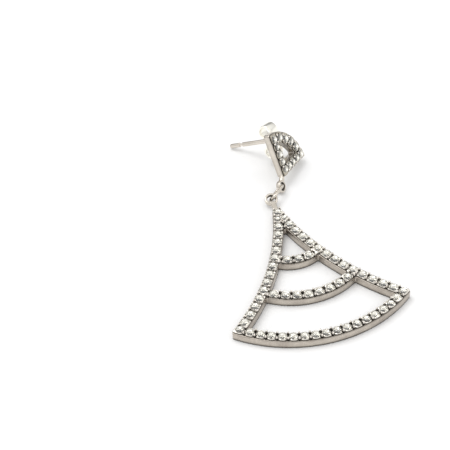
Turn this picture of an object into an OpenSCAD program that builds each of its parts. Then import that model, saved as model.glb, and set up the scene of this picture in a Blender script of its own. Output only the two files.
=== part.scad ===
// Dangle earring: an open fan drop hangs by a jump ring from a small fan stud.
// It lies as it was laid down: the drop flat on its back, the stud tipped on one corner and its post.
// Millimetres. The drop's back is the plane z = 0, and its axis of symmetry runs along Y.

/* [Drop outline] */
// Width across the two bottom corners
fan_width = 30; // [27:0.5:33]
// Height from the corner line up to the top of the apex
fan_height = 24.4; // [23:0.1:25.2]
// Width left at the top of the apex
apex_width = 1.6; // [1.2:0.1:2.2]
// How far the bottom edge bows out below the corner line
bottom_bow = 5.55; // [4:0.05:6.5]
// How far each arm bows in from a straight line
arm_bow = 2.2; // [1.6:0.1:2.6]

/* [Drop bars] */
// Width of every bar, seen from the front
bar_width = 1.8; // [1.5:0.1:2]
// Height on the axis at which the two arms part
fork_rise = 19.7; // [18:0.1:20]
// Height on the axis of the lower crossbar's bottom edge
low_bar_rise = 3.2; // [2.4:0.1:4]
// Radius of the lower crossbar's bottom edge
low_bar_radius = 13.3; // [12:0.1:15]
// Height on the axis of the upper crossbar's bottom edge
high_bar_rise = 11.2; // [10.4:0.1:12]
// Radius of the upper crossbar's bottom edge
high_bar_radius = 6.9; // [6.4:0.1:8]

/* [Thickness] */
// Height of the drop's smooth side wall
drop_wall = 1.5; // [1.2:0.1:1.8]
// Height of the stud's smooth side wall
stud_wall = 1.2; // [1.2:0.1:1.8]
// Dark line between the wall and the paved band
band_gap = 0.05; // [0.03:0.01:0.1]
// How far the paved band stands in from the wall
band_inset = 0.12; // [0.05:0.01:0.2]
// Height of the drop's paved band
drop_band = 0.8; // [0.6:0.05:1]
// Height of the stud's paved band
stud_band = 0.5; // [0.4:0.05:0.8]

/* [Stud] */
// Radius of the stud's arched top edge, about its own apex
stud_radius = 8.2; // [8.1:0.1:9]
// Angle between the stud's two straight sides
stud_angle = 88; // [80:1:94]
// Width of the arched top bar
stud_top_bar = 2.2; // [1.8:0.1:2.4]
// Width of the two side bars
stud_side_bar = 2; // [1.8:0.1:2.4]

/* [Ear post and clutch] */
// Diameter of the post's wire
post_dia = 0.84; // [0.7:0.02:0.95]
// Length of the post behind the stud's back
post_length = 11.4; // [10:0.1:12]
// Height of the post above the stud's apex
post_rise = 7.4; // [7.3:0.05:7.6]
// Distance from the post's tip to its friction groove
groove_from_tip = 2.2; // [2:0.1:2.6]
// Length of the friction groove
groove_length = 0.7; // [0.6:0.05:0.9]
// Depth of the friction groove
groove_depth = 0.18; // [0.17:0.01:0.22]
// Gap between the stud's back and the clutch
clutch_seat = 1; // [0.8:0.1:2.2]
// Turn of the clutch about the post
clutch_turn = 50; // [0:5:90]
// Radius of each rolled scroll, outside
scroll_radius = 1.35; // [1.1:0.05:1.4]
// Distance from the post's axis to the centre of each scroll
scroll_offset = 1.85; // [1.8:0.05:2.2]
// Width of the rolled strip
strip_width = 2.3; // [2:0.1:3.2]
// Thickness of the rolled strip
strip_thick = 0.35; // [0.25:0.05:0.4]
// Diameter of the clutch's round base plate
base_dia = 4; // [3.4:0.1:4.4]
// Radial clearance of the clutch's hole on the post
post_clearance = 0.05; // [0.02:0.01:0.09]

/* [Eyelets and jump ring] */
// Outside diameter of the drop's eyelet
drop_eye_dia = 2.3; // [2.2:0.05:2.4]
// Outside diameter of the stud's eyelet
stud_eye_dia = 2.16; // [2.1:0.02:2.2]
// Diameter of the hole in both eyelets
eye_hole = 1.46; // [1.42:0.02:1.5]
// Height of the drop's eyelet tube
drop_eye_height = 0.75; // [0.6:0.05:0.8]
// Height of the drop eyelet's middle above the surface that it lies on
drop_eye_level = 1.2; // [1.15:0.05:1.3]
// Lean of the drop's eyelet towards the bottom bar
drop_eye_lean = 18; // [15:1:26]
// Distance from the corner line to the middle of the drop's eyelet
drop_eye_rise = 27.6; // [27.4:0.1:27.8]
// Height of the stud's eyelet tube
stud_eye_height = 0.75; // [0.6:0.05:0.8]
// Height of the stud eyelet's middle above the stud's back
stud_eye_level = 0.75; // [0.6:0.05:0.8]
// Distance from the stud's apex down to the middle of its eyelet
stud_eye_drop = 1.6; // [1.55:0.05:1.7]
// Width of the neck that carries each eyelet
neck_width = 0.9; // [0.7:0.05:1]
// Diameter of the jump ring's wire
ring_wire = 0.55; // [0.45:0.05:0.6]
// Length of the oval jump ring, along the middle of its wire
ring_length = 3.85; // [3.75:0.05:3.95]
// Width of the oval jump ring, along the middle of its wire
ring_width = 2; // [1.95:0.05:2.1]
// Lean of the jump ring from the upright
ring_lean = 33; // [32:0.5:35]

/* [How the stud lies] */
// Turn of the stud about its own width
stud_pitch = 49.4; // [48:0.1:51]
// Turn of the stud about its own height
stud_roll = 47.75; // [46:0.05:49]
// Turn of the stud about the upright
stud_heading = 17.6; // [16:0.1:19]
// Place of the stud's apex, at its back: right of the axis, above the corner line, above the surface
stud_seat = [2.67, 32.05, 1.65];

/* [Hidden] */

$fa = 2;
$fs = 0.1;
// Longer than any piece
reach = 60;
// How deep a soldered piece runs into the one that carries it
sink = 0.5;
// How far a cut runs past the shape that it cuts, and a shape into its neighbour
lap = 0.05;
post_r = post_dia / 2;

// Radius of an arc from its chord and its bow
function bow_radius(chord, bow) = (chord * chord / 4 + bow * bow) / (2 * bow);

// The bottom edge is one arc through both corners
bottom_radius = bow_radius(fan_width, bottom_bow);
bottom_centre = bottom_radius - bottom_bow;

// Each arm's outer edge is an arc from a corner to the apex, about a centre outside the fan
arm_foot = [fan_width / 2, 0];
arm_top = [apex_width / 2, fan_height];
arm_chord = norm(arm_top - arm_foot);
arm_radius = bow_radius(arm_chord, arm_bow);
arm_out = [arm_top[1] - arm_foot[1], arm_foot[0] - arm_top[0]] / arm_chord;
arm_centre = (arm_foot + arm_top) / 2 + arm_out * (arm_radius - arm_bow);

// A point given in the stud's own frame, where the lying stud puts it
function turn_x(p, a) = [p[0], p[1] * cos(a) - p[2] * sin(a), p[1] * sin(a) + p[2] * cos(a)];
function turn_y(p, a) = [p[0] * cos(a) + p[2] * sin(a), p[1], p[2] * cos(a) - p[0] * sin(a)];
function turn_z(p, a) = [p[0] * cos(a) - p[1] * sin(a), p[0] * sin(a) + p[1] * cos(a), p[2]];
function on_stud(p) = stud_seat + turn_z(turn_y(turn_x(p, stud_pitch), stud_roll), stud_heading);

// The jump ring hangs between the middles of the two eyelets
drop_eye_at = [0, drop_eye_rise, drop_eye_level];
stud_eye_at = on_stud([0, -stud_eye_drop, stud_eye_level]);
link_run = stud_eye_at - drop_eye_at;
link_heading = atan2(link_run[1], link_run[0]);
link_pitch = asin(link_run[2] / norm(link_run));

// The origin is under the middle of the whole earring, which ends at the post's rounded tip
post_end = on_stud([0, post_rise, post_r - post_length]);
origin_rise = (post_end[1] + post_r - bottom_bow) / 2;

// Fan shapes, seen from the front

module fan_outline(inset) {
    difference() {
        intersection() {
            translate([0, bottom_centre]) circle(r = bottom_radius - inset);
            translate([-reach / 2, fan_height - inset - reach]) square(reach);
        }
        for (side = [-1, 1])
            translate([side * arm_centre[0], arm_centre[1]]) circle(r = arm_radius + inset);
    }
}

module crossbar(rise, radius, inset) {
    translate([0, rise + radius]) difference() {
        circle(r = radius - inset);
        circle(r = radius - bar_width + inset);
    }
}

module fan_bars(inset) {
    difference() {
        fan_outline(inset);
        fan_outline(bar_width - inset);
    }
    intersection() {
        fan_outline(inset);
        union() {
            crossbar(low_bar_rise, low_bar_radius, inset);
            crossbar(high_bar_rise, high_bar_radius, inset);
            translate([-bar_width, fork_rise + inset]) square([2 * bar_width, fan_height - fork_rise]);
        }
    }
}

// Stud shapes, seen from the front, with the stud's apex at the origin

module stud_outline(side_inset, top_inset) {
    half = stud_angle / 2;
    spread = reach * tan(half);
    intersection() {
        circle(r = stud_radius - top_inset);
        translate([0, side_inset / sin(half)]) polygon([[0, 0], [spread, reach], [-spread, reach]]);
    }
}

module stud_bars(inset) {
    difference() {
        stud_outline(inset, inset);
        stud_outline(stud_side_bar - inset, stud_top_bar - inset);
    }
}

// Small parts that several pieces share

module eyelet(outside, height) {
    difference() {
        cylinder(d = outside, h = height, center = true);
        cylinder(d = eye_hole, h = height + 2 * lap, center = true);
    }
}

// A bar from y = from up to y = to, centred on its width and height
module neck(from, to, height) {
    translate([-neck_width / 2, from, -height / 2]) cube([neck_width, to - from, height]);
}

module lying_stud() {
    translate(stud_seat) rotate([stud_pitch, stud_roll, stud_heading]) children();
}

// The pieces

module drop_frame() {
    color("silver") {
        linear_extrude(drop_wall) fan_bars(0);
        translate(drop_eye_at) {
            rotate([drop_eye_lean, 0, 0]) eyelet(drop_eye_dia, drop_eye_height);
            difference() {
                neck(fan_height - sink - drop_eye_rise, -eye_hole / 2, drop_eye_height);
                rotate([drop_eye_lean, 0, 0]) cylinder(d = eye_hole, h = reach, center = true);
            }
        }
    }
}

module drop_stones() {
    color("whitesmoke")
        translate([0, 0, drop_wall + band_gap])
        linear_extrude(drop_band) difference() {
            fan_bars(band_inset);
            translate([-bar_width, fan_height - sink - band_inset]) square(2 * bar_width);
        }
}

module jump_ring() {
    bend = ring_width / 2;
    straight = ring_length - ring_width;
    color("silver")
        translate((drop_eye_at + stud_eye_at) / 2)
        rotate([0, -link_pitch, link_heading])
        rotate([90 + ring_lean, 0, 0])
        for (side = [0, 1]) rotate([0, 0, 180 * side]) {
            translate([straight / 2, 0, 0]) rotate([0, 0, -90])
                rotate_extrude(angle = 180) translate([bend, 0]) circle(d = ring_wire);
            translate([-straight / 2, bend, 0]) rotate([0, 90, 0])
                cylinder(d = ring_wire, h = straight);
        }
}

module ear_post() {
    groove_top = post_length - groove_from_tip;
    rotate([180, 0, 0]) {
        translate([0, 0, -sink]) cylinder(r = post_r, h = sink + groove_top - groove_length);
        translate([0, 0, groove_top - groove_length - lap])
            cylinder(r = post_r - groove_depth, h = groove_length + 2 * lap);
        translate([0, 0, groove_top]) cylinder(r = post_r, h = groove_from_tip - post_r);
        translate([0, 0, post_length - post_r]) sphere(r = post_r);
    }
}

module stud_frame() {
    color("silver") lying_stud() {
        linear_extrude(stud_wall) stud_bars(0);
        translate([0, post_rise, 0]) ear_post();
        translate([0, -stud_eye_drop, stud_eye_level]) {
            eyelet(stud_eye_dia, stud_eye_height);
            difference() {
                neck(eye_hole / 2, stud_eye_drop + neck_width, stud_eye_height);
                cylinder(d = eye_hole, h = stud_eye_height + 2 * lap, center = true);
            }
        }
    }
}

module stud_stones() {
    color("whitesmoke") lying_stud()
        translate([0, 0, stud_wall + band_gap]) linear_extrude(stud_band) stud_bars(band_inset);
}

// One rolled end of the clutch, seen along the roll, curling from the base plate towards the post
module scroll() {
    translate([scroll_offset, scroll_radius]) difference() {
        circle(r = scroll_radius);
        circle(r = scroll_radius - strip_thick);
        rotate(180) square(scroll_radius * 2);
    }
}

module clutch() {
    color("lemonchiffon") lying_stud()
        translate([0, post_rise, -clutch_seat]) rotate([180, 0, 0]) rotate([0, 0, clutch_turn])
        difference() {
            union() {
                cylinder(d = base_dia, h = strip_thick);
                translate([-scroll_offset, -strip_width / 2, 0])
                    cube([2 * scroll_offset, strip_width, strip_thick]);
                for (side = [0, 1]) rotate([0, 0, 180 * side])
                    translate([0, strip_width / 2, 0]) rotate([90, 0, 0])
                    linear_extrude(strip_width) scroll();
            }
            cylinder(r = post_r + post_clearance, h = reach, center = true);
        }
}

translate([0, -origin_rise, 0]) {
    drop_frame();
    drop_stones();
    jump_ring();
    stud_frame();
    stud_stones();
    clutch();
}
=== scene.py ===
# Dangle earring, laid down on a pale surface: an open fan drop paved with clear stones hangs by a jump ring
# from a small paved fan stud, which has a straight ear post and a butterfly clutch behind it.
# Lengths are millimetres until add_piece puts them into a mesh in metres.
import bpy
import numpy as np
from mathutils import Matrix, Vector
from mathutils.geometry import delaunay_2d_cdt


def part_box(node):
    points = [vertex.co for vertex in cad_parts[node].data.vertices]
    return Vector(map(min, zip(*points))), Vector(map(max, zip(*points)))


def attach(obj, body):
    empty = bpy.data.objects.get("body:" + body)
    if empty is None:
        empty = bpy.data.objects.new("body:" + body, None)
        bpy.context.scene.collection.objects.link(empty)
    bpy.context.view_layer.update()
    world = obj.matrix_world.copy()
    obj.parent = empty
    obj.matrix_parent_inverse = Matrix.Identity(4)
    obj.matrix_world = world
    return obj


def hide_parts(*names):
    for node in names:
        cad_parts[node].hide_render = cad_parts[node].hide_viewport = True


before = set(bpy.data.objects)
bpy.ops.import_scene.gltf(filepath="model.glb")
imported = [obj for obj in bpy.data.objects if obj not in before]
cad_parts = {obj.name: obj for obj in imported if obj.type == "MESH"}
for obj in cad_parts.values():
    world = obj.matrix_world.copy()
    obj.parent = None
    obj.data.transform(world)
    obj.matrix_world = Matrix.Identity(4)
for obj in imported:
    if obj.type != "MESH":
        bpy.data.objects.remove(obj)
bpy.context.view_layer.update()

# The drop's frame
# One casting of rhodium-plated silver: a bowed foot bar, two arms that curve in to the apex and two
# crossbars. Its side walls are filed smooth. Painted shade darkens its foot edge, the ledge under the
# setting and its window walls.

MM = 0.001

drop_low, drop_high = (np.array(corner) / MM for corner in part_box("drop_frame"))
half_width = drop_high[0]
fan_height = 24.4
apex_width = 1.6
bottom_bow = 5.55
arm_bow = 2.2
bar_width = 1.8
# The fork is where the arms part, below the apex
fork_rise = 19.7
# Rise of each crossbar's lowest point over the fan's corners, and radius of its lower edge
low_bar_rise, low_bar_radius = 3.2, 13.3
high_bar_rise, high_bar_radius = 11.2, 6.9
drop_wall = 1.5
edge_round = 0.1
outer_corner = 0.4
inner_corner = 0.25
fork_corner = 0.12
# Both lower corners of the fan lie on this line across it
corner_line = drop_low[1] + bottom_bow
# A straight side is an arc of this radius
flat = 5000.0


def bow_radius(chord, bow):
    """Radius of an arc from its chord and its bow: (chord squared / 4 + bow squared) / (2 bow)."""
    return (chord ** 2 / 4 + bow ** 2) / (2 * bow)


def meeting(a, b, shift, near):
    """Where two circles cross, each radius moved by shift into the metal, on the side nearer to a point.

    Along the line of centres it lies (ra squared - rb squared + d squared) / 2d from the first, and square
    to that line by Pythagoras. A circle is its centre, its radius, and 1 with metal inside or -1 outside."""
    radius_a, radius_b = a[2] - shift * a[3], b[2] - shift * b[3]
    start = np.array(a[:2])
    run = np.array(b[:2]) - start
    distance = np.hypot(*run)
    along = (radius_a ** 2 - radius_b ** 2 + distance ** 2) / (2 * distance)
    across = np.sqrt(radius_a ** 2 - along ** 2)
    ahead = run / distance
    square = np.array([-ahead[1], ahead[0]])
    found = start + along * ahead + np.outer([1, -1], across * square)
    return found[np.argmin(((found - near) ** 2).sum(1))]


def arc_rows(centre, radius, change, first, last, step):
    """Rows of an outline for an arc between two directions, the shorter way and without its last point."""
    fewest = 5
    start = np.arctan2(first[1], first[0])
    turn = (np.arctan2(last[1], last[0]) - start + np.pi) % (2 * np.pi) - np.pi
    count = max(fewest, int(np.ceil(abs(turn) * radius / step)))
    angle = start + turn * np.arange(count) / count
    sizes = np.broadcast_to([*centre, radius, change], (count, 4))
    return np.column_stack([sizes, np.cos(angle), np.sin(angle)])


def outline(circles, near, around, corners, step):
    """A closed line of arcs with rounded corners, metal on its left. around is 1 for a rim, -1 for a window.

    Corner k, of radius corners[k], lies before arc k, and its rough place is near[k].
    Each row of the result is an arc's centre, its radius, how much the radius changes for each millimetre of
    inset, and a direction, so that a point is centre + direction * (radius + inset * change)."""
    count = len(circles)
    hubs = [meeting(circles[k - 1], circles[k], around * corners[k], near[k]) for k in range(count)]
    arcs = []
    for k, (x, y, radius, side) in enumerate(circles):
        x_before, y_before, _, side_before = circles[k - 1]
        hub = hubs[k]
        here = hub - (x, y)
        ahead = hubs[(k + 1) % count] - (x, y)
        bend_first = around * side_before * (hub - (x_before, y_before))
        bend_last = around * side * here
        arcs.append(arc_rows(hub, corners[k], -around, bend_first, bend_last, step))
        arcs.append(arc_rows((x, y), radius, -side, here, ahead, step))
    return np.concatenate(arcs)


def plan(line, inset):
    """Points of an outline at an inset, one inset for all or one for each point."""
    return line[:, :2] + line[:, 4:] * (line[:, 2:3] + np.reshape(inset, (-1, 1)) * line[:, 3:4])


def ring_faces(rows, columns, looped):
    """Four-cornered faces of a grid whose columns close on themselves, and whose rows do too if looped."""
    row, column = np.meshgrid(np.arange(rows if looped else rows - 1), np.arange(columns), indexing="ij")
    up = (row + 1) % rows
    right = (column + 1) % columns
    corners = [row * columns + column, row * columns + right, up * columns + right, up * columns + column]
    return np.stack(corners, -1).reshape(-1, 4)


def filled(rings, inner):
    """Triangles that fill the first ring but not the windows, on all the rings' points and the inner ones.

    A triangle on three points of one window is metal if their order round the window is its own order."""
    inside_only, merge_distance = 1, 1e-7
    points = np.concatenate([*rings, inner])
    starts = np.cumsum([0] + [len(ring) for ring in rings])
    borders = [list(range(first, last)) for first, last in zip(starts[:-1], starts[1:])]
    triangles = np.array(delaunay_2d_cdt(points.tolist(), [], borders, inside_only, merge_distance)[2])
    ring_of = np.searchsorted(starts, triangles, side="right") - 1
    kept = np.ones(len(triangles), bool)
    for k in range(1, len(rings)):
        size = starts[k + 1] - starts[k]
        turns = ((np.roll(triangles, -1, 1) - triangles) % size).sum(1) // size
        kept &= ~((ring_of == k).all(1) & (turns == 2))
    return triangles[kept]


def plate(lines, insets, heights, inner=np.zeros((0, 2)), inner_heights=()):
    """A closed plate: a wall round every outline, one row for each inset and height, and a cap at each end.

    The top cap takes in the inner points at their own heights. As every part, it is points, tables of faces
    and a mark for each point."""
    rows = len(insets)
    grids = []
    for k, line in enumerate(lines):
        levels = [np.broadcast_to(height[k], len(line)) for height in heights]
        grids.append(np.dstack([[plan(line, inset[k]) for inset in insets], levels]))
    sizes = [len(line) for line in lines]
    starts = np.cumsum([0] + [rows * size for size in sizes])
    spans = list(zip(starts, sizes))
    faces = [ring_faces(rows, size, False) + start for start, size in spans]
    low_ring = np.concatenate([start + np.arange(size) for start, size in spans])
    top_ring = np.concatenate([start + (rows - 1) * size + np.arange(size) for start, size in spans]
                              + [starts[-1] + np.arange(len(inner))])
    low = filled([grid[0, :, :2] for grid in grids], np.zeros((0, 2)))
    top = filled([grid[-1, :, :2] for grid in grids], inner)
    points = np.concatenate([*(grid.reshape(-1, 3) for grid in grids),
                             np.column_stack([inner, inner_heights])])
    return points, [*faces, low_ring[low][:, ::-1], top_ring[top]], np.zeros(len(points))


def with_painted_shade(part, painted_shade):
    """A part whose points are marked with painted shade, from 0 to 1: how much each is darkened for the
    shade in a cut or corner.
    """
    return *part[:2], np.broadcast_to(painted_shade, len(part[0]))


def add_piece(name, parts, crease=40):
    """One object from closed parts in millimetres, whose marks of painted shade go into a point attribute.

    Edges sharper than the crease angle, in degrees, stay sharp, and with 0 every facet stays flat."""
    points = np.concatenate([part[0] for part in parts])
    starts = np.cumsum([0] + [len(part[0]) for part in parts])
    tables = [table + start for (_, faces, _), start in zip(parts, starts) for table in faces]
    corners = np.concatenate([table.ravel() for table in tables])
    sizes = np.concatenate([np.full(len(table), table.shape[1]) for table in tables])
    mesh = bpy.data.meshes.new(name)
    mesh.vertices.add(len(points))
    mesh.vertices.foreach_set("co", (points * MM).ravel())
    mesh.loops.add(len(corners))
    mesh.loops.foreach_set("vertex_index", corners)
    mesh.polygons.add(len(sizes))
    mesh.polygons.foreach_set("loop_start", np.cumsum(sizes) - sizes)
    mesh.polygons.foreach_set("use_smooth", np.full(len(sizes), crease > 0))
    # Painted shade: each point's mark, from 0 to 1, darkens its silver towards near black
    painted_shade = np.concatenate([part[2] for part in parts]).astype(np.float32)
    mesh.attributes.new("painted_shade", "FLOAT", "POINT").data.foreach_set("value", painted_shade)
    mesh.update(calc_edges=True)
    mesh.validate()
    mesh.set_sharp_from_angle(angle=np.radians(crease))
    piece = bpy.data.objects.new(name, mesh)
    bpy.context.scene.collection.objects.link(piece)
    return piece


def linear(colour):
    """An sRGB hex colour as linear light: c / 12.92 when dark, else ((c + 0.055) / 1.055) to the 2.4."""
    srgb = np.array([int(colour[k:k + 2], 16) for k in (1, 3, 5)]) / 255
    light = np.where(srgb <= 0.04045, srgb / 12.92, ((srgb + 0.055) / 1.055) ** 2.4)
    return (*light, 1.0)


def add_node(tree, kind, values=None, **settings):
    """Adds a node. settings are its own properties, and values fill its sockets: a socket is linked."""
    node = tree.nodes.new(kind)
    for name, value in settings.items():
        setattr(node, name, value)
    for key, value in (values or {}).items():
        if isinstance(value, bpy.types.NodeSocket):
            tree.links.new(value, node.inputs[key])
        else:
            node.inputs[key].default_value = value
    return node


def new_finish(name):
    """An empty material with its shader, and the object's own coordinates for its patterns."""
    material = bpy.data.materials.new(name)
    material.use_nodes = True
    tree = material.node_tree
    shader = tree.nodes["Principled BSDF"]
    place = tree.nodes.new("ShaderNodeTexCoord").outputs["Object"]
    return material, tree, shader, place


def as_metal(tree, shader, colour, pattern, smooth, rough):
    """Makes a shader a metal of a colour, whose roughness varies with a pattern between two values."""
    polish = add_node(tree, "ShaderNodeMapRange", {
        "Value": pattern, "From Min": 0.3, "From Max": 0.7, "To Min": smooth, "To Max": rough})
    tree.links.new(colour, shader.inputs["Base Color"])
    tree.links.new(polish.outputs["Result"], shader.inputs["Roughness"])
    shader.inputs["Metallic"].default_value = 1.0


# Painted shade: near black, mixed into silver where the mesh marks cuts, corners, foot edges and holes
PAINTED_SHADE_COLOUR = "#26221d"


def plated_silver(name, light, dark, roughness):
    """Rhodium-plated silver, filed and polished: a soft grey mirror, a little warm in what it reflects.

    Cloudy tone over a few millimetres, fine file marks along the bars that blur what it reflects, and
    painted shade, near black, where the mesh marks it."""
    cloud_size = 2.4
    mark_length, mark_width, mark_depth = 1.6, 0.12, 0.01
    material, tree, shader, place = new_finish(name)
    cloud = add_node(tree, "ShaderNodeTexNoise",
                     {"Vector": place, "Scale": 1 / (cloud_size * MM), "Detail": 3.0, "Roughness": 0.6})
    tone = add_node(tree, "ShaderNodeValToRGB", {"Fac": cloud.outputs["Fac"]})
    tone.color_ramp.elements[0].position = 0.35
    tone.color_ramp.elements[0].color = linear(dark)
    tone.color_ramp.elements[1].position = 0.65
    tone.color_ramp.elements[1].color = linear(light)
    along, upright = 1 / (mark_length * MM), 1 / (mark_width * MM)
    stretched = add_node(tree, "ShaderNodeMapping", {"Vector": place, "Scale": (along, along, upright)})
    marks = add_node(tree, "ShaderNodeTexNoise",
                     {"Vector": stretched.outputs["Vector"], "Scale": 1.0, "Detail": 2.0})
    painted_shade = add_node(tree, "ShaderNodeAttribute", attribute_name="painted_shade").outputs["Fac"]
    # Painted shade: marked points are mixed towards near black
    colour = add_node(tree, "ShaderNodeMix",
                      {"Factor": painted_shade, "A": tone.outputs["Color"], "B": linear(PAINTED_SHADE_COLOUR)},
                      data_type="RGBA")
    bump = add_node(tree, "ShaderNodeBump",
                    {"Height": marks.outputs["Fac"], "Strength": 0.35, "Distance": mark_depth * MM})
    tree.links.new(bump.outputs["Normal"], shader.inputs["Normal"])
    as_metal(tree, shader, colour.outputs["Result"], marks.outputs["Fac"],
             smooth=roughness - 0.06, rough=roughness + 0.08)
    return material


# The foot's edge is one arc through both corners, and each arm's is an arc about a centre beside the fan
foot_radius = bow_radius(2 * half_width, bottom_bow)
foot_centre = np.array([0, corner_line + foot_radius - bottom_bow])
arm_foot = np.array([half_width, corner_line])
arm_top = np.array([apex_width / 2, corner_line + fan_height])
arm_chord = np.hypot(*(arm_top - arm_foot))
arm_radius = bow_radius(arm_chord, arm_bow)
arm_square = np.array([arm_top[1] - arm_foot[1], arm_foot[0] - arm_top[0]]) / arm_chord
arm_centre = (arm_foot + arm_top) / 2 + arm_square * (arm_radius - arm_bow)
low_centre = np.array([0, corner_line + low_bar_rise + low_bar_radius])
high_centre = np.array([0, corner_line + high_bar_rise + high_bar_radius])

foot_out, foot_in = (*foot_centre, foot_radius, 1), (*foot_centre, foot_radius - bar_width, -1)
right_out, right_in = (*arm_centre, arm_radius, -1), (*arm_centre, arm_radius + bar_width, 1)
left_out, left_in = (-arm_centre[0], *right_out[1:]), (-arm_centre[0], *right_in[1:])
low_under, low_over = (*low_centre, low_bar_radius, 1), (*low_centre, low_bar_radius - bar_width, -1)
high_under, high_over = (*high_centre, high_bar_radius, 1), (*high_centre, high_bar_radius - bar_width, -1)
top_edge = (0, corner_line + fan_height - flat, flat, 1)
fork_edge = (0, corner_line + fork_rise - flat, flat, -1)
beside_right = (half_width / 3, corner_line + fan_height / 2)
beside_left = (-half_width / 3, corner_line + fan_height / 2)
# Rough places of the four corners of the rim and of each window, in the order of their arcs
four_corners = [beside_left, beside_right, beside_right, beside_left]


def fan_outlines(step):
    """The fan's rim and its three windows, as outlines whose points are about a step apart."""
    rim = outline([foot_out, right_out, top_edge, left_out], four_corners, 1, 4 * [outer_corner], step)
    windows = [(low_under, foot_in, inner_corner), (high_under, low_over, inner_corner),
               (fork_edge, high_over, fork_corner)]
    return [rim, *(outline([over, right_in, under, left_in], four_corners, -1,
                           2 * [corner] + 2 * [inner_corner], step) for over, under, corner in windows)]


def frame_plate(lines, height, foot_painted_shade, window_painted_shade):
    """A bar frame from its outlines: upright walls whose lower and upper edges are rounded.

    The foot's edge and the ledge under the stones' setting are marked with painted shade, for the contact
    shadow and the shade under the stones. The walls of the windows, all the outlines but the first, get a
    little painted shade too."""
    full, near = edge_round, 0.3 * edge_round
    # Rows of the wall, from its foot to its top: inset, height and painted shade
    insets, levels, marks = np.array([
        (full, 0, 0), (near, near, foot_painted_shade), (0, full, foot_painted_shade),
        (0, 3 * full, 0.6 * foot_painted_shade), (0, 5 * full, 0), (0, 0.7 * height, 0),
        (0, height - full, 0.2), (near, height - near, 0.4), (full, height, 0.6)]).T
    part = plate(lines, np.tile(insets[:, None], len(lines)), np.tile(levels[:, None], len(lines)))
    rise = part[0][:, 2]
    in_window = (np.arange(len(rise)) >= len(levels) * len(lines[0])) & (rise > 0)
    return with_painted_shade(part, np.maximum(np.interp(rise, levels, marks), in_window * window_painted_shade))


# Painted shade: a dark foot edge for the contact shadow, and slightly darker window walls
drop_casting_part = frame_plate(fan_outlines(step=0.4), drop_wall, foot_painted_shade=0.85, window_painted_shade=0.06)
drop_casting = add_piece("drop_casting", [drop_casting_part])
silver = plated_silver("rhodium_plated_silver", light="#cec6bb", dark="#b8afa5", roughness=0.28)
drop_casting.data.materials.append(silver)
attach(drop_casting, "earring")
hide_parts("drop_frame")

# The drop's eyelet
# A short piece of thick silver tube on a stub of bar, soldered together and to the casting's apex. The tube
# leans back a little, and its inside is painted dark: painted shade in the hole.

eye_hole = 1.46
eye_height = 0.75
eye_rim_round = 0.14
neck_width, neck_height, neck_round = 0.9, 0.67, 0.2
# How far a neck reaches into the drop's casting, and how far it stays clear of the hole
neck_root = 0.6
neck_clear = 0.1
drop_eye_dia = 2.3
drop_eye_lean = 18.0
drop_eye = np.array([0, corner_line + 27.6, 1.2])


def skin(grid, looped=False):
    """A closed skin over a grid of points whose columns run anticlockwise round its rows' way.

    Its rows join up if looped. If not, a point at the middle of each end row closes that end."""
    rows, columns = grid.shape[:2]
    points = grid.reshape(-1, 3)
    faces = [ring_faces(rows, columns, looped)]
    if not looped:
        points = np.concatenate([points, [grid[0].mean(0), grid[-1].mean(0)]])
        here = np.arange(columns)
        right = (here + 1) % columns
        low, high = np.full(columns, rows * columns), np.full(columns, rows * columns + 1)
        last = (rows - 1) * columns
        faces.append(np.column_stack([low, right, here]))
        faces.append(np.column_stack([high, last + here, last + right]))
    return points, faces, np.zeros(len(points))


def rounded_box(width, height, corner, steps=4):
    """Anticlockwise section of a box with round edges: a quarter circle about each corner's own centre."""
    angle = (np.arange(4)[:, None] * 90 + np.linspace(0, 90, steps + 1)) * np.pi / 180
    side = np.array([[1, 1], [-1, 1], [-1, -1], [1, -1]])
    hub = side * [width / 2 - corner, height / 2 - corner]
    return (hub[:, None] + corner * np.stack([np.cos(angle), np.sin(angle)], -1)).reshape(-1, 2)


def grid_of(x, y, z):
    """Grid of points from three tables of coordinates, each of them whole, or one row or one column."""
    return np.stack(np.broadcast_arrays(x, y, z), -1)


def lathe(profile, count):
    """Grid of a turned shape. Each profile row, a radius and a height, is carried round the upright, as
    radius * cosine, radius * sine and height."""
    angle = np.arange(count) / count * 2 * np.pi
    radius, height = np.array(profile, float).T[:, :, None]
    return grid_of(radius * np.cos(angle), radius * np.sin(angle), height)


def turn_about(axis, degrees):
    """Rotation matrix about X, Y or Z."""
    return np.array(Matrix.Rotation(np.radians(degrees), 3, axis))


def moved(part, turn=np.eye(3), shift=(0, 0, 0)):
    """A part turned by a matrix about the origin and then shifted."""
    points, faces, painted_shade = part
    return points @ np.array(turn).T + shift, faces, painted_shade


def eyelet(outside):
    """A turned tube with round rims, about the upright through the origin. Painted shade darkens it towards
    the hole.
    """
    fade, darkest = 0.1, 0.9
    wall = (outside - eye_hole) / 2
    section = rounded_box(wall, eye_height, eye_rim_round) + [eye_hole / 2 + wall / 2, 0]
    part = skin(lathe(section, count=64), looped=True)
    from_hole = np.hypot(*part[0][:, :2].T) - eye_hole / 2
    return with_painted_shade(part, np.clip(1 - from_hole / fade, 0, darkest))


def neck(start, end):
    """A soldered bar along Y with round edges. Its width grows by a third at both ends, where solder ran, as
    the cube of the distance from its middle."""
    along = np.linspace(0, 1, 13)[:, None]
    flare = 1 + 0.35 * np.abs(2 * along - 1) ** 3
    across, up = rounded_box(neck_width, neck_height, neck_round).T
    grid = grid_of(flare * across, start + along * (end - start), up)
    return skin(grid[:, ::-1])


drop_neck = neck(corner_line + fan_height - neck_root - drop_eye[1], -eye_hole / 2 - neck_clear)
drop_eyelet = add_piece("drop_eyelet", [
    moved(eyelet(drop_eye_dia), turn_about("X", drop_eye_lean), drop_eye), moved(drop_neck, shift=drop_eye)])
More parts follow.
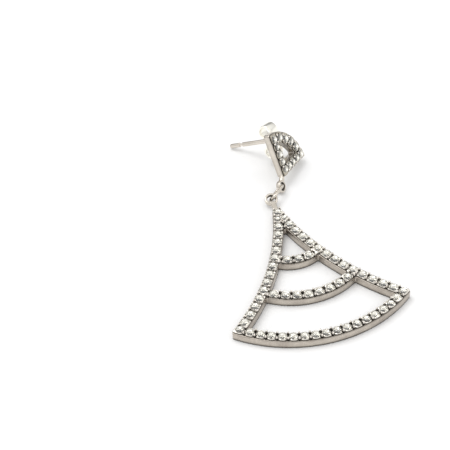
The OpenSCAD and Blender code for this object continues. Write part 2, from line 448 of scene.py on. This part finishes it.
# A lighter copy of the plated silver: the drawn wire's own smoother finish, and painted light on the eyelets
# and the stud's casting
wire_silver_and_painted_light = plated_silver("drawn_wire_and_painted_light_silver", light="#e2dad0", dark="#c9c2b7", roughness=0.2)
drop_eyelet.data.materials.append(wire_silver_and_painted_light)
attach(drop_eyelet, "earring")
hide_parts("drop_frame")

# The drop's paved setting
# The upper face of the same silver, cut into one seat per stone. Crevices part the seats and run out to the
# edges as notches, painted dark with painted shade, as are the setting's side walls.

band_inset = 0.12
notch_depth = 0.26
# Heights of the setting's foot, of its crevices' floor and of its face
drop_foot, drop_crevice, drop_shelf = 1.58, 1.62, 1.86
# Distance between the points of the outlines, and insets of the rows of points inside them
setting_step = 0.12
drop_face_rows = (0.3, 0.45, 0.6, 0.75, 0.86)
# Radius of the stones in a row, and width of the crevices between them
foot_size = (0.67, 0.5)
arm_size = (0.76, 0.26)
cross_size = (0.71, 0.42)
small_size = (0.58, 0.26)
top_size = (0.72, 0.26)
foot_count, arm_count, low_count, high_count = 18, 13, 8, 3
arm_pitch, cross_pitch = 1.865, 1.87
# Distance from the corner stone to an arm's first, and of a crossbar's stones from its middle line
arm_first = 1.7
cross_shift = -0.12
bar_middle = bar_width / 2
arm_middle = arm_radius + bar_middle


def along_circle(circle, first, pitch, count, size, shift=0.0):
    """Stones of one size on a line parallel to a bar's edge circle, a pitch apart from a first angle.

    Each stone is its place, its radius and the width of the crevices round it."""
    x, y, radius, side = circle
    middle = radius - side * (bar_middle + shift)
    angle = first + np.arange(count) * pitch / middle
    place = [x + middle * np.cos(angle), y + middle * np.sin(angle)]
    return np.column_stack([*place, np.tile(size, (count, 1))])


def cross_row(circle, count):
    """A crossbar's stones, spread evenly to both sides of its lowest point."""
    half_run = (count - 1) / 2 * cross_pitch
    first = -np.pi / 2 - half_run / (circle[2] - bar_middle - cross_shift)
    return along_circle(circle, first, cross_pitch, count, cross_size, cross_shift)


# A stone sits where the middle lines of foot bar and arm cross, and the rows run on from there
corner_stone = meeting(foot_out, right_out, bar_middle, beside_right)
corner_angle = np.arctan2(corner_stone[1] - foot_centre[1], corner_stone[0])
foot_pitch = 2 * (corner_angle + np.pi / 2) * (foot_radius - bar_middle) / (foot_count - 1)
foot_row = along_circle(foot_out, -np.pi - corner_angle, foot_pitch, foot_count, foot_size)
arm_angle = np.arctan2(*(corner_stone - arm_centre)[::-1]) - arm_first / arm_middle
arm_row = along_circle(right_out, arm_angle, -arm_pitch, arm_count, arm_size)
small_stone = np.array([[0.58, corner_line + 22.0, *small_size]])
top_stone = np.array([[0, corner_line + 23.6, *top_size]])
low_row = cross_row(low_under, low_count)
high_row = cross_row(high_under, high_count)
mirror = np.array([-1, 1, 1, 1])
drop_places = np.concatenate([foot_row, arm_row, arm_row * mirror, small_stone, small_stone * mirror,
                              top_stone, low_row, high_row])


def from_stones(points, places):
    """Distances from points to the rims of the nearest and second nearest stone, negative inside a rim, and
    which stone is the nearest."""
    apart = np.hypot(*(points[:, None] - places[None, :, :2]).transpose(2, 0, 1)) - places[:, 2]
    near, second = np.sort(apart, 1)[:, :2].T
    return near, second, np.argmin(apart, 1)


def crevice(points, places):
    """How deep in a crevice points are, from 0 to 1: a bell of the difference between their distances from
    the two nearest stones, faded out where both are far."""
    reach, fade = 0.3, 0.3
    near, second, nearest = from_stones(points, places)
    between = np.exp(-((second - near) / places[nearest, 3]) ** 2)
    return between * np.exp(-np.clip((near - reach) / fade, 0, None) ** 2)


def setting_height(points, places, low, high):
    """Height of the setting's face: the shelf, cut down by the deeper of the seat's and crevice's cuts."""
    seat_inset, seat_slope = 0.1, 0.06
    near, _, _ = from_stones(points, places)
    seat = 1 - np.clip((near + seat_inset) / seat_slope, 0, 1)
    cut = np.maximum(seat, crevice(points, places))
    return high + (low - high) * cut


def setting(lines, places, face_rows, foot_level, low, high):
    """A closed setting: its side walls step in at every notch, and its face takes in rows of points that
    follow the outlines at several insets, as far as they are clear of the notches."""
    bevel, rim_slope, clear = 0.03, 0.05, 0.04
    foot_painted_shade, rim_painted_shade = 0.6, 0.1
    notches = [notch_depth * crevice(plan(line, band_inset), places) for line in lines]
    foot = [band_inset + bevel + notch for notch in notches]
    side = [band_inset + notch for notch in notches]
    rim = [band_inset + rim_slope + notch for notch in notches]
    rim_height = [setting_height(plan(line, inset), places, low, high) for line, inset in zip(lines, rim)]
    side_height = [height - bevel for height in rim_height]
    foot_height = [foot_level] * len(lines)
    low_height = [foot_level + bevel] * len(lines)
    inner = np.concatenate([plan(line, row)[row > inset + clear]
                            for line, inset in zip(lines, rim) for row in face_rows])
    insets = [foot, side, side, rim]
    heights = [foot_height, low_height, side_height, rim_height]
    part = plate(lines, insets, heights, inner, setting_height(inner, places, low, high))
    rise = (part[0][:, 2] - foot_level) / (high - foot_level)
    on_wall = np.arange(len(rise)) < len(insets) * sum(len(line) for line in lines)
    # Painted shade: the side walls are darkest at the foot, and the crevices and notches are near black
    wall_painted_shade = on_wall * np.interp(rise, [0, 1], [foot_painted_shade, rim_painted_shade])
    return with_painted_shade(part, np.maximum(crevice(part[0][:, :2], places), wall_painted_shade))


def cut_finish(name, bright):
    """Silver cut by hand with a graver and polished: brighter than the walls, with painted shade, near
    black, in the cuts.
    """
    grain_size = 0.35
    material, tree, shader, place = new_finish(name)
    grain = add_node(tree, "ShaderNodeTexNoise",
                     {"Vector": place, "Scale": 1 / (grain_size * MM), "Detail": 2.0})
    painted_shade = add_node(tree, "ShaderNodeAttribute", attribute_name="painted_shade").outputs["Fac"]
    # Painted shade: marked cuts and side walls are mixed towards near black
    tone = add_node(tree, "ShaderNodeMix",
                    {"Factor": painted_shade, "A": linear(bright), "B": linear(PAINTED_SHADE_COLOUR)}, data_type="RGBA")
    as_metal(tree, shader, tone.outputs["Result"], grain.outputs["Fac"], smooth=0.18, rough=0.34)
    return material


drop_setting_part = setting(fan_outlines(setting_step), drop_places, drop_face_rows,
                            drop_foot, drop_crevice, drop_shelf)
drop_setting = add_piece("drop_setting", [drop_setting_part], crease=60)
drop_setting.data.materials.append(cut_finish("bright_cut_silver", bright="#f4efe6"))
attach(drop_setting, "earring")
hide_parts("drop_stones")

# The drop's beads
# Small prongs of the same silver, raised from the setting between the stones and pushed over their edges.
# Two stand in each crevice, one by each edge of the bar, and their tops are polished round.

bead_radius = 0.18
bead_offset = 0.54
drop_bead_foot = drop_crevice - 0.02
drop_bead_top = 2.26


def bead_places(chains, places):
    """Two places beside the middle of each gap between stones along the chains, kept where they are clear
    of all stones and of the places before them."""
    clear_of_stones, clear_of_beads = 0.08, 1.6 * bead_radius
    first = np.concatenate([chain[:-1] for chain in chains])
    second = np.concatenate([chain[1:] for chain in chains])
    steps = (second - first)[:, :2]
    length = np.hypot(*steps.T)[:, None]
    middles = first[:, :2] + steps * (0.5 + (first[:, 2:3] - second[:, 2:3]) / (2 * length))
    square = np.column_stack([-steps[:, 1], steps[:, 0]]) / length
    found = np.concatenate([middles + square * bead_offset, middles - square * bead_offset])
    found = found[from_stones(found, places)[0] > clear_of_stones]
    apart = np.hypot(*(found[:, None] - found[None]).transpose(2, 0, 1))
    before = np.tri(len(found), k=-1, dtype=bool)
    return found[~((apart < clear_of_beads) & before).any(1)]


def repeated(faces, size, count):
    """Tables of faces for count copies of a shape of size points, each copy's points after the last's."""
    steps = size * np.arange(count)[:, None, None]
    return [(table[None] + steps).reshape(-1, table.shape[1]) for table in faces]


def beads(places, foot, top):
    """Domed pins with few sides: one is turned, and its points and faces are repeated as arrays."""
    sides, flare = 9, 1.1
    bend = np.radians([0, 30, 60])
    dome = top - bead_radius + bead_radius * np.sin(bend)
    pin = [(bead_radius * flare, foot), (bead_radius, (foot + dome[0]) / 2)]
    points, faces, _ = skin(lathe([*pin, *zip(bead_radius * np.cos(bend), dome)], sides))
    spread = points[None] + np.pad(places, ((0, 0), (0, 1)))[:, None]
    # Painted shade: each bead darkens towards its foot, down in the crevice
    painted_shade = np.interp(points[:, 2], [foot, dome[0] - 0.05, dome[0]], [1, 0.8, 0])
    return spread.reshape(-1, 3), repeated(faces, len(points), len(places)), np.tile(painted_shade, len(places))


def extended(row):
    """A row of stones with one more place at each end, in line with the last two."""
    return np.concatenate([2 * row[:1] - row[1:2], row, 2 * row[-1:] - row[-2:-1]])


# Beads also stand past the ends of the rows, where the gap to the next bar or edge is
past_top = top_stone + [[0, 1.5, 0, 0]]
drop_chains = [
    np.concatenate([foot_row, arm_row, small_stone, top_stone, past_top]),
    np.concatenate([foot_row[:1], arm_row * mirror, small_stone * mirror, top_stone]),
    *(np.concatenate([row * mirror, row]) for row in (arm_row[-1:], small_stone)),
    extended(low_row), extended(high_row)]
drop_beads_part = beads(bead_places(drop_chains, drop_places), drop_bead_foot, drop_bead_top)
drop_beads = add_piece("drop_beads", [drop_beads_part], crease=180)
bead_silver = plated_silver("polished_bead_silver", light="#f2ece4", dark="#ddd6cd", roughness=0.16)
drop_beads.data.materials.append(bead_silver)
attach(drop_beads, "earring")
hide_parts("drop_stones")

# The drop's stones
# Round brilliant-cut cubic zirconia, most of them 1.3 to 1.5 mm across, pressed into the seats and held by
# the beads. Seventy-odd flat facets each: a table, a crown, a thin girdle and a shallow pavilion.


def brilliant(crown, pavilion, girdle):
    """A brilliant of radius 1 about the origin: eight corners on the table, star points between them,
    sixteen on the girdle, and the pavilion's points and culet. Star points lie in the planes of the main
    facets: at half a facet's turn their height falls in line from the table's corner to the girdle."""
    table, star, lower = 0.56, 0.79, 0.3
    eighth = np.arange(8) * np.pi / 4
    half = np.pi / 8

    def circle(size, angle, height):
        return np.column_stack([size * np.cos(angle), size * np.sin(angle), np.full(len(angle), height)])

    star_height = girdle / 2 + crown * (1 - star * np.cos(half)) / (1 - table)
    lower_height = -girdle / 2 - pavilion * (1 - lower * np.cos(half))
    sixteenth = np.arange(16) * half
    points = np.concatenate([
        circle(table, eighth, girdle / 2 + crown), circle(star, eighth + half, star_height),
        circle(1, sixteenth, girdle / 2), circle(1, sixteenth, -girdle / 2),
        circle(lower, eighth + half, lower_height), [[0, 0, -girdle / 2 - pavilion]]])
    # The first point of each circle after the table's, and the culet
    stars, upper, under, low, culet = 8, 16, 32, 48, np.full(8, 56)
    k = np.arange(8)
    after, before = (k + 1) % 8, (k - 1) % 8
    even, odd, next_even = 2 * k, 2 * k + 1, (2 * k + 2) % 16
    j = np.arange(16)
    next_j = (j + 1) % 16
    triangles = np.concatenate([
        np.column_stack([np.zeros(6, int), np.arange(1, 7), np.arange(2, 8)]),
        np.column_stack([k, stars + k, after]),
        np.column_stack([stars + k, upper + even, upper + odd]),
        np.column_stack([stars + k, upper + odd, upper + next_even]),
        np.column_stack([low + k, under + odd, under + even]),
        np.column_stack([low + k, under + next_even, under + odd])])
    kites = np.concatenate([
        np.column_stack([k, stars + before, upper + even, stars + k]),
        np.column_stack([culet, low + k, under + even, low + before]),
        np.column_stack([upper + j, under + j, under + next_j, upper + next_j])])
    return points, [triangles, kites]


def brilliants(places, level, pavilion, seed):
    """Stones at their places, each spun about its own axis, and as set by hand: a few hundredths of a
    millimetre off its seat's middle or size, and tipped by a few degrees.

    A point is turn * point * radius + centre, and a small tip turns the upright by its two sines."""
    play = (0.05, 0.05, 0.02)
    tip_degrees = 3.0
    count = len(places)
    points, faces = brilliant(crown=0.34, pavilion=pavilion, girdle=0.05)
    draw = np.random.default_rng(seed)
    spin = draw.uniform(0, np.pi / 4, count)
    tip = np.radians(draw.normal(0, tip_degrees, (count, 2)))
    places = places[:, :3] + draw.uniform(-1, 1, (count, 3)) * play
    cos, sin, one = np.cos(spin), np.sin(spin), np.ones(count)
    turn = np.array([[cos, -sin, tip[:, 1]], [sin, cos, -tip[:, 0]], [-tip[:, 1], tip[:, 0], one]])
    centre = np.column_stack([places[:, :2], level * one])
    spread = np.einsum("ijn,pj->npi", turn, points) * places[:, None, 2:3] + centre[:, None]
    return spread.reshape(-1, 3), repeated(faces, len(points), count), np.zeros(count * len(points))


def cubic_zirconia():
    """Colourless cubic zirconia, cut and polished: clear glassy facets with sharp reflections."""
    material, _, shader, _ = new_finish("cubic_zirconia")
    shader.inputs["Base Color"].default_value = linear("#fffefa")
    shader.inputs["Roughness"].default_value = 0.02
    shader.inputs["IOR"].default_value = 2.15
    shader.inputs["Transmission Weight"].default_value = 1.0
    return material


def zirconia_returns():
    """The pavilion's facets seen through the crown: they send the light back whole, as a mirror does."""
    material, _, shader, _ = new_finish("zirconia_pavilion")
    shader.inputs["Base Color"].default_value = linear("#faf8f2")
    shader.inputs["Roughness"].default_value = 0.12
    shader.inputs["Metallic"].default_value = 1.0
    return material


zirconia = cubic_zirconia()
returns = zirconia_returns()


def set_stones(name, part):
    """Stones as one object: all their triangles and then all their kites, each stone's in brilliant's order.

    Clear facets are kind 0. The pavilion's, sixteen triangles and eight kites, are kind 1."""
    piece = add_piece(name, [part], crease=0)
    kinds_of_triangles, kinds_of_kites = [0] * 30 + [1] * 16, [0] * 8 + [1] * 8 + [0] * 16
    count = len(part[1][1]) // len(kinds_of_kites)
    kinds = np.concatenate([np.tile(kinds_of_triangles, count), np.tile(kinds_of_kites, count)])
    piece.data.polygons.foreach_set("material_index", kinds)
    piece.data.materials.append(zirconia)
    piece.data.materials.append(returns)
    return piece


drop_brilliants = set_stones("drop_brilliants", brilliants(drop_places, drop_shelf, pavilion=0.22, seed=11))
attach(drop_brilliants, "earring")
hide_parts("drop_stones")

# The jump ring
# An oval ring of round silver wire that joins the two eyelets. It was bent on a mandrel, sawn through and
# closed, so a hairline split shows on the side that faces down.

ring_wire = 0.55
ring_length = 3.85
ring_width = 2.0
ring_lean = 33.0
split = 0.03

# How the stud lies: turned about its width, its height and the upright, with its apex just above the surface
stud_turn = turn_about("Z", 17.6) @ turn_about("Y", 47.75) @ turn_about("X", 49.4)
stud_seat = np.array([2.67, corner_line + 32.05, 1.65])
stud_eye_drop = 1.6
stud_eye_level = 0.75
stud_eye = stud_seat + stud_turn @ [0, -stud_eye_drop, stud_eye_level]

link_run = stud_eye - drop_eye
link_heading = np.degrees(np.arctan2(link_run[1], link_run[0]))
link_pitch = np.degrees(np.arcsin(link_run[2] / np.linalg.norm(link_run)))


def oval_wire(length, width, wire, gap):
    """Round wire along a stadium: half a straight, a bend, a straight, a bend and the other half straight.

    A hub walks the straights and rests at the bends, and an arm turns half a circle about it at each bend.
    The wire's middle is hub + arm, and its section middle + radius * (outwards * sine + up * cosine)."""
    arm = width / 2
    half = (length - width) / 2
    line = np.linspace(0, 1, 9)
    curl = np.linspace(0, 1, 25)[1:-1] * np.pi
    hub = np.concatenate([gap / 2 + line * (half - gap / 2), 0 * curl + half, half - line * 2 * half,
                          0 * curl - half, -half + line * (half - gap / 2)])
    turned = np.concatenate([0 * line, curl, 0 * line + np.pi, np.pi + curl, 0 * line + 2 * np.pi])
    away = np.column_stack([np.sin(turned), -np.cos(turned)])
    middle = np.column_stack([hub, 0 * hub]) + arm * away
    sides = 24
    angle = np.arange(sides) / sides * 2 * np.pi
    out = middle[:, None] + away[:, None] * (wire / 2 * np.sin(angle))[None, :, None]
    up = np.broadcast_to(wire / 2 * np.cos(angle), out.shape[:2])
    return skin(np.dstack([out, up]))


ring_turn = turn_about("Z", link_heading) @ turn_about("Y", -link_pitch) @ turn_about("X", 90 + ring_lean)
jump_ring = add_piece("jump_ring_wire", [
    moved(oval_wire(ring_length, ring_width, ring_wire, split), ring_turn, (drop_eye + stud_eye) / 2)])
jump_ring.data.materials.append(wire_silver_and_painted_light)
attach(jump_ring, "earring")
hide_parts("jump_ring")

# The stud's frame
# A second, smaller casting: two straight bars in a V and an arched bar over them, with a tube eyelet
# soldered under the apex. A straight ear post of hard silver wire is soldered to the arched bar's back.

stud_wall = 1.2
stud_radius = 8.2
stud_half = np.radians(44)
stud_top_bar = 2.2
stud_side_bar = 2.0
stud_eye_dia = 2.16
stud_neck_end = 1.0
post_radius = 0.42
post_length = 11.4
post_rise = 7.4
post_root = 0.4
groove_from_tip, groove_length, groove_depth, groove_slope = 2.2, 0.7, 0.18, 0.12

# Centres of the side bars' edges, which are straight
right_side = (-flat * np.cos(stud_half), flat * np.sin(stud_half))
left_side = (-right_side[0], right_side[1])


def stud_outlines(step):
    """The stud's rim and its one window, with the stud's apex at the origin."""
    top_right = (stud_radius * np.sin(stud_half), stud_radius * np.cos(stud_half))
    top_left = (-top_right[0], top_right[1])
    rim = outline([(*right_side, flat, 1), (0, 0, stud_radius, 1), (*left_side, flat, 1)],
                  [(0, 0), top_right, top_left], 1, 3 * [outer_corner], step)
    in_radius, in_flat = stud_radius - stud_top_bar, flat - stud_side_bar
    near_apex, near_left, near_right = (0, 3), (-3, 6), (3, 6)
    window = outline([(*left_side, in_flat, -1), (0, 0, in_radius, -1), (*right_side, in_flat, -1)],
                     [near_apex, near_left, near_right], -1, 3 * [inner_corner], step)
    return [rim, window]


def ear_post():
    """A turned pin that points down: round tip, and a friction groove with sloping sides near it."""
    groove_end = post_length - groove_from_tip
    groove_start = groove_end - groove_length
    groove_radius = post_radius - groove_depth
    tip = np.radians(np.linspace(0, 80, 7))
    profile = [(post_radius, -post_root), (post_radius, groove_start),
               (groove_radius, groove_start + groove_slope), (groove_radius, groove_end - groove_slope),
               (post_radius, groove_end),
               *zip(post_radius * np.cos(tip), post_length - post_radius + post_radius * np.sin(tip))]
    return moved(skin(lathe(profile, count=32)), turn_about("X", 180), (0, post_rise, 0))


def on_stud(part):
    """A part in the stud's own frame, put where the lying stud has it."""
    return moved(part, stud_turn, stud_seat)


stud_neck = neck(-stud_eye_drop + eye_hole / 2 + neck_clear, stud_neck_end)
# Painted shade on the stud's walls at the foot and, more strongly, in its window, and in its eyelet's hole
stud_frame = add_piece("stud_casting", [on_stud(part) for part in (
    frame_plate(stud_outlines(step=0.3), stud_wall, foot_painted_shade=0.25, window_painted_shade=0.45),
    moved(eyelet(stud_eye_dia), shift=(0, -stud_eye_drop, stud_eye_level)),
    moved(stud_neck, shift=(0, 0, stud_eye_level)),
    ear_post())])
# Painted light: the stud's casting takes the lighter silver
stud_frame.data.materials.append(wire_silver_and_painted_light)
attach(stud_frame, "earring")
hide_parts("stud_frame")

# The stud's paved face
# The same work on a smaller scale: seats, crevices and beads cut in the silver, and clear stones in one row
# down each side bar and one row along the arched bar.

stud_foot, stud_crevice, stud_shelf = 1.28, 1.3, 1.46
stud_face_rows = (0.3, 0.45, 0.6, 0.75, 0.9, 1.05)
stud_bead_foot = stud_crevice - 0.01
stud_bead_top = 1.74
# Radius of the stones and width of the crevices between them
apex_size = (0.7, 0.34)
side_size = (0.68, 0.34)
arch_size = (0.78, 0.34)
arch_count = 6
apex_rise = 0.1

# The two side rows start at one shared stone above the apex and end at the corner stones of the arched row
apex_stone = np.array([[0, stud_side_bar / 2 / np.sin(stud_half) + apex_rise, *apex_size]])
arch_radius = stud_radius - stud_top_bar / 2
near_corner = (4, 5)
stud_corner = meeting((*right_side, flat - stud_side_bar / 2, 1), (0, 0, arch_radius, 1), 0, near_corner)
arch_end = np.arctan2(*stud_corner)
arch_angle = np.linspace(-arch_end, arch_end, arch_count)
arch_row = np.column_stack([arch_radius * np.sin(arch_angle), arch_radius * np.cos(arch_angle),
                            np.tile(arch_size, (arch_count, 1))])
share = np.arange(1, 4)[:, None] / 4
side_row = apex_stone + share * (arch_row[-1:] - apex_stone)
side_row[:, 2:] = side_size
stud_places = np.concatenate([apex_stone, side_row, side_row * mirror, arch_row])
stud_setting_part = setting(stud_outlines(setting_step), stud_places, stud_face_rows,
                            stud_foot, stud_crevice, stud_shelf)
stud_setting = add_piece("stud_setting", [on_stud(stud_setting_part)], crease=60)
# The stud's cut silver is a darker copy of the drop's: painted shade
stud_setting.data.materials.append(cut_finish("cut_silver_painted_shade", bright="#b9b2a4"))
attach(stud_setting, "earring")
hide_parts("stud_stones")

stud_chains = [np.concatenate([apex_stone, side_row, arch_row[-1:]]),
               np.concatenate([apex_stone, side_row * mirror, arch_row[:1]]), arch_row]
stud_beads_part = beads(bead_places(stud_chains, stud_places), stud_bead_foot, stud_bead_top)
stud_beads = add_piece("stud_beads", [on_stud(stud_beads_part)], crease=180)
stud_beads.data.materials.append(bead_silver)
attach(stud_beads, "earring")
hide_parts("stud_stones")

# The stud's setting is thin, so its stones are shallower than the drop's
stud_brilliants_part = brilliants(stud_places, stud_shelf, pavilion=0.18, seed=23)
stud_brilliants = set_stones("stud_brilliants", on_stud(stud_brilliants_part))
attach(stud_brilliants, "earring")
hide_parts("stud_stones")

# The clutch
# A butterfly back of thin springy sheet, plated pale gold: a round base plate with a hole for the post, and
# a strip folded up from it whose two ends are rolled into scrolls that grip the post between them.

# Distance of the clutch behind the stud, and its turn about the post in degrees
clutch_seat = 1.0
clutch_turn = 50
# Distances from the post's middle to where a strip starts and to where it rolls up
scroll_start, scroll_offset = 0.6, 1.85
scroll_radius = 1.35
strip_width, strip_thick, strip_round = 2.3, 0.35, 0.09
base_dia, base_thick, base_round = 4.0, 0.27, 0.12
clutch_hole = post_radius + 0.05


def scroll():
    """A strip along the base and then round three quarters of a circle, which tightens a little at its end.

    Its middle line is centre + radius * direction, and its section stands square to that line."""
    tightening = 0.1
    run = np.linspace(scroll_start, scroll_offset, 8)
    angle = np.linspace(-90, 180, 46)[1:] * np.pi / 180
    radius = (scroll_radius - strip_thick / 2) * (1 - tightening * np.clip(angle / np.pi, 0, 1) ** 2)
    x = np.concatenate([run, scroll_offset + radius * np.cos(angle)])[:, None]
    z = np.concatenate([0 * run + strip_thick / 2, scroll_radius + radius * np.sin(angle)])[:, None]
    way = np.concatenate([0 * run, angle + np.pi / 2])[:, None]
    across, out = rounded_box(strip_width, strip_thick, strip_round).T
    return skin(grid_of(x - np.sin(way) * out, across, z + np.cos(way) * out))


def base_plate():
    """A turned washer with round rims."""
    width = base_dia / 2 - clutch_hole
    middle = [clutch_hole + width / 2, strip_thick / 2]
    section = rounded_box(width, base_thick, base_round, steps=6) + middle
    return skin(lathe(section, count=72), looped=True)


def pale_gold():
    """Brass sheet flashed with very pale gold, rolled and barrel-polished. Its colour is painted light, near
    white and paler than the gold, for the glare off it: creamy white where it mirrors the light above, with
    soft grey streaks in its scrolls."""
    cloud_size, grain_size = 1.1, 0.15
    material, tree, shader, place = new_finish("pale_gold_flash")
    cloud = add_node(tree, "ShaderNodeTexNoise",
                     {"Vector": place, "Scale": 1 / (cloud_size * MM), "Detail": 3.0})
    # Painted light: both tones are near white, paler than the gold itself
    tone = add_node(tree, "ShaderNodeMix",
                    {"Factor": cloud.outputs["Fac"], "A": linear("#f9f6ea"), "B": linear("#fdfbf5")},
                    data_type="RGBA")
    grain = add_node(tree, "ShaderNodeTexNoise",
                     {"Vector": place, "Scale": 1 / (grain_size * MM), "Detail": 2.0})
    as_metal(tree, shader, tone.outputs["Result"], grain.outputs["Fac"], smooth=0.18, rough=0.3)
    return material


clutch_lay = turn_about("X", 180) @ turn_about("Z", clutch_turn)
clutch_parts = [base_plate(), scroll(), moved(scroll(), turn_about("Z", 180))]
clutch = add_piece("butterfly_clutch", [
    on_stud(moved(part, clutch_lay, (0, post_rise, -clutch_seat))) for part in clutch_parts])
clutch.data.materials.append(pale_gold())
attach(clutch, "clutch")
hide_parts("clutch")

# The surface, the light and the camera
# A seamless white table top in a bright room, under a large soft light. The room is dim low down on the far
# side, so that metal and facets have something grey to reflect towards the camera.

# Half the side of the table top, in metres
half = 1.5
floor_mesh = bpy.data.meshes.new("table_top")
floor_mesh.from_pydata([(-half, -half, 0), (half, -half, 0), (half, half, 0), (-half, half, 0)],
                       [], [(0, 1, 2, 3)])
floor = bpy.data.objects.new("table_top", floor_mesh)
bpy.context.scene.collection.objects.link(floor)
paper, _, paper_shader, _ = new_finish("white_paper")
paper_shader.inputs["Base Color"].default_value = linear("#f0f0f0")
paper_shader.inputs["Roughness"].default_value = 0.9
paper_shader.inputs["Specular IOR Level"].default_value = 0.1
floor.data.materials.append(paper)

# Brightness of the room near the horizon, overhead and at its dim spot, and of the white backdrop
horizon_light, overhead_light, dim_light, backdrop = 0.75, 1.05, 0.22, 1.0
world = bpy.data.worlds.new("studio")
world.use_nodes = True
bpy.context.scene.world = world
room = world.node_tree
direction = add_node(room, "ShaderNodeTexCoord").outputs["Generated"]
heading = add_node(room, "ShaderNodeSeparateXYZ", {"Vector": direction})
overhead = add_node(room, "ShaderNodeMapRange",
                    {"Value": heading.outputs["Z"], "From Min": 0.0, "From Max": 0.75,
                     "To Min": horizon_light, "To Max": overhead_light},
                    interpolation_type="SMOOTHSTEP")
far_low = add_node(room, "ShaderNodeMath",
                   {0: heading.outputs["Y"], 1: heading.outputs["Z"]}, operation="SUBTRACT")
dimness = add_node(room, "ShaderNodeMapRange",
                   {"Value": far_low.outputs["Value"], "From Min": 0.2, "From Max": 0.75,
                    "To Min": 0.0, "To Max": 1.0},
                   interpolation_type="SMOOTHSTEP")
around = add_node(room, "ShaderNodeMix",
                  {"Factor": dimness.outputs["Result"], "A": overhead.outputs["Result"], "B": dim_light})
# The camera sees a plain white backdrop, and metal and stones see the room
seen = add_node(room, "ShaderNodeLightPath").outputs["Is Camera Ray"]
brightness = add_node(room, "ShaderNodeMix",
                      {"Factor": seen, "A": around.outputs["Result"], "B": backdrop})
background = room.nodes["Background"]
background.inputs["Color"].default_value = linear("#ffffff")
room.links.new(brightness.outputs["Result"], background.inputs["Strength"])


def placed(place, right, up, back):
    """World matrix of something at a place in metres, its own X, Y and Z along three directions."""
    return Matrix.LocRotScale(place, Matrix(np.column_stack([right, up, back]).tolist()), None)


def add_lamp(name, place, size, power):
    """A square soft light at a place in metres, turned towards the origin."""
    light = bpy.data.lights.new(name, "AREA")
    light.size = size
    light.energy = power
    lamp = bpy.data.objects.new(name, light)
    bpy.context.scene.collection.objects.link(lamp)
    back = np.array(place) / np.linalg.norm(place)
    right = np.cross((0, 1, 0), back)
    right /= np.linalg.norm(right)
    lamp.matrix_world = placed(place, right, np.cross(back, right), back)


add_lamp("soft_light_above", (-0.12, 0.1, 0.34), size=0.22, power=0.45)
add_lamp("fill_from_right", (0.3, -0.12, 0.2), size=0.16, power=0.12)

# The camera's place and aim in millimetres, its roll, and its focal length in pixels of the picture
eye = np.array([-44.2, -143.558, 147.9])
aim = np.array([-9.07, 5.642, 0.0])
roll = np.radians(-3.25)
focal_pixels, picture_pixels = 1237.7, 450
camera_data = bpy.data.cameras.new("camera")
camera_data.sensor_width = 36.0
camera_data.lens = focal_pixels / picture_pixels * camera_data.sensor_width
camera_data.clip_start = 0.01
camera_data.clip_end = 10.0
camera = bpy.data.objects.new("camera", camera_data)
bpy.context.scene.collection.objects.link(camera)
bpy.context.scene.camera = camera
forward = (aim - eye) / np.linalg.norm(aim - eye)
level = np.cross(forward, (0, 0, 1))
level /= np.linalg.norm(level)
upright = np.cross(level, forward)
right_way = level * np.cos(roll) + upright * np.sin(roll)
up_way = upright * np.cos(roll) - level * np.sin(roll)
camera.matrix_world = placed(eye * MM, right_way, up_way, -forward)
bpy.context.scene.view_settings.view_transform = "Standard"
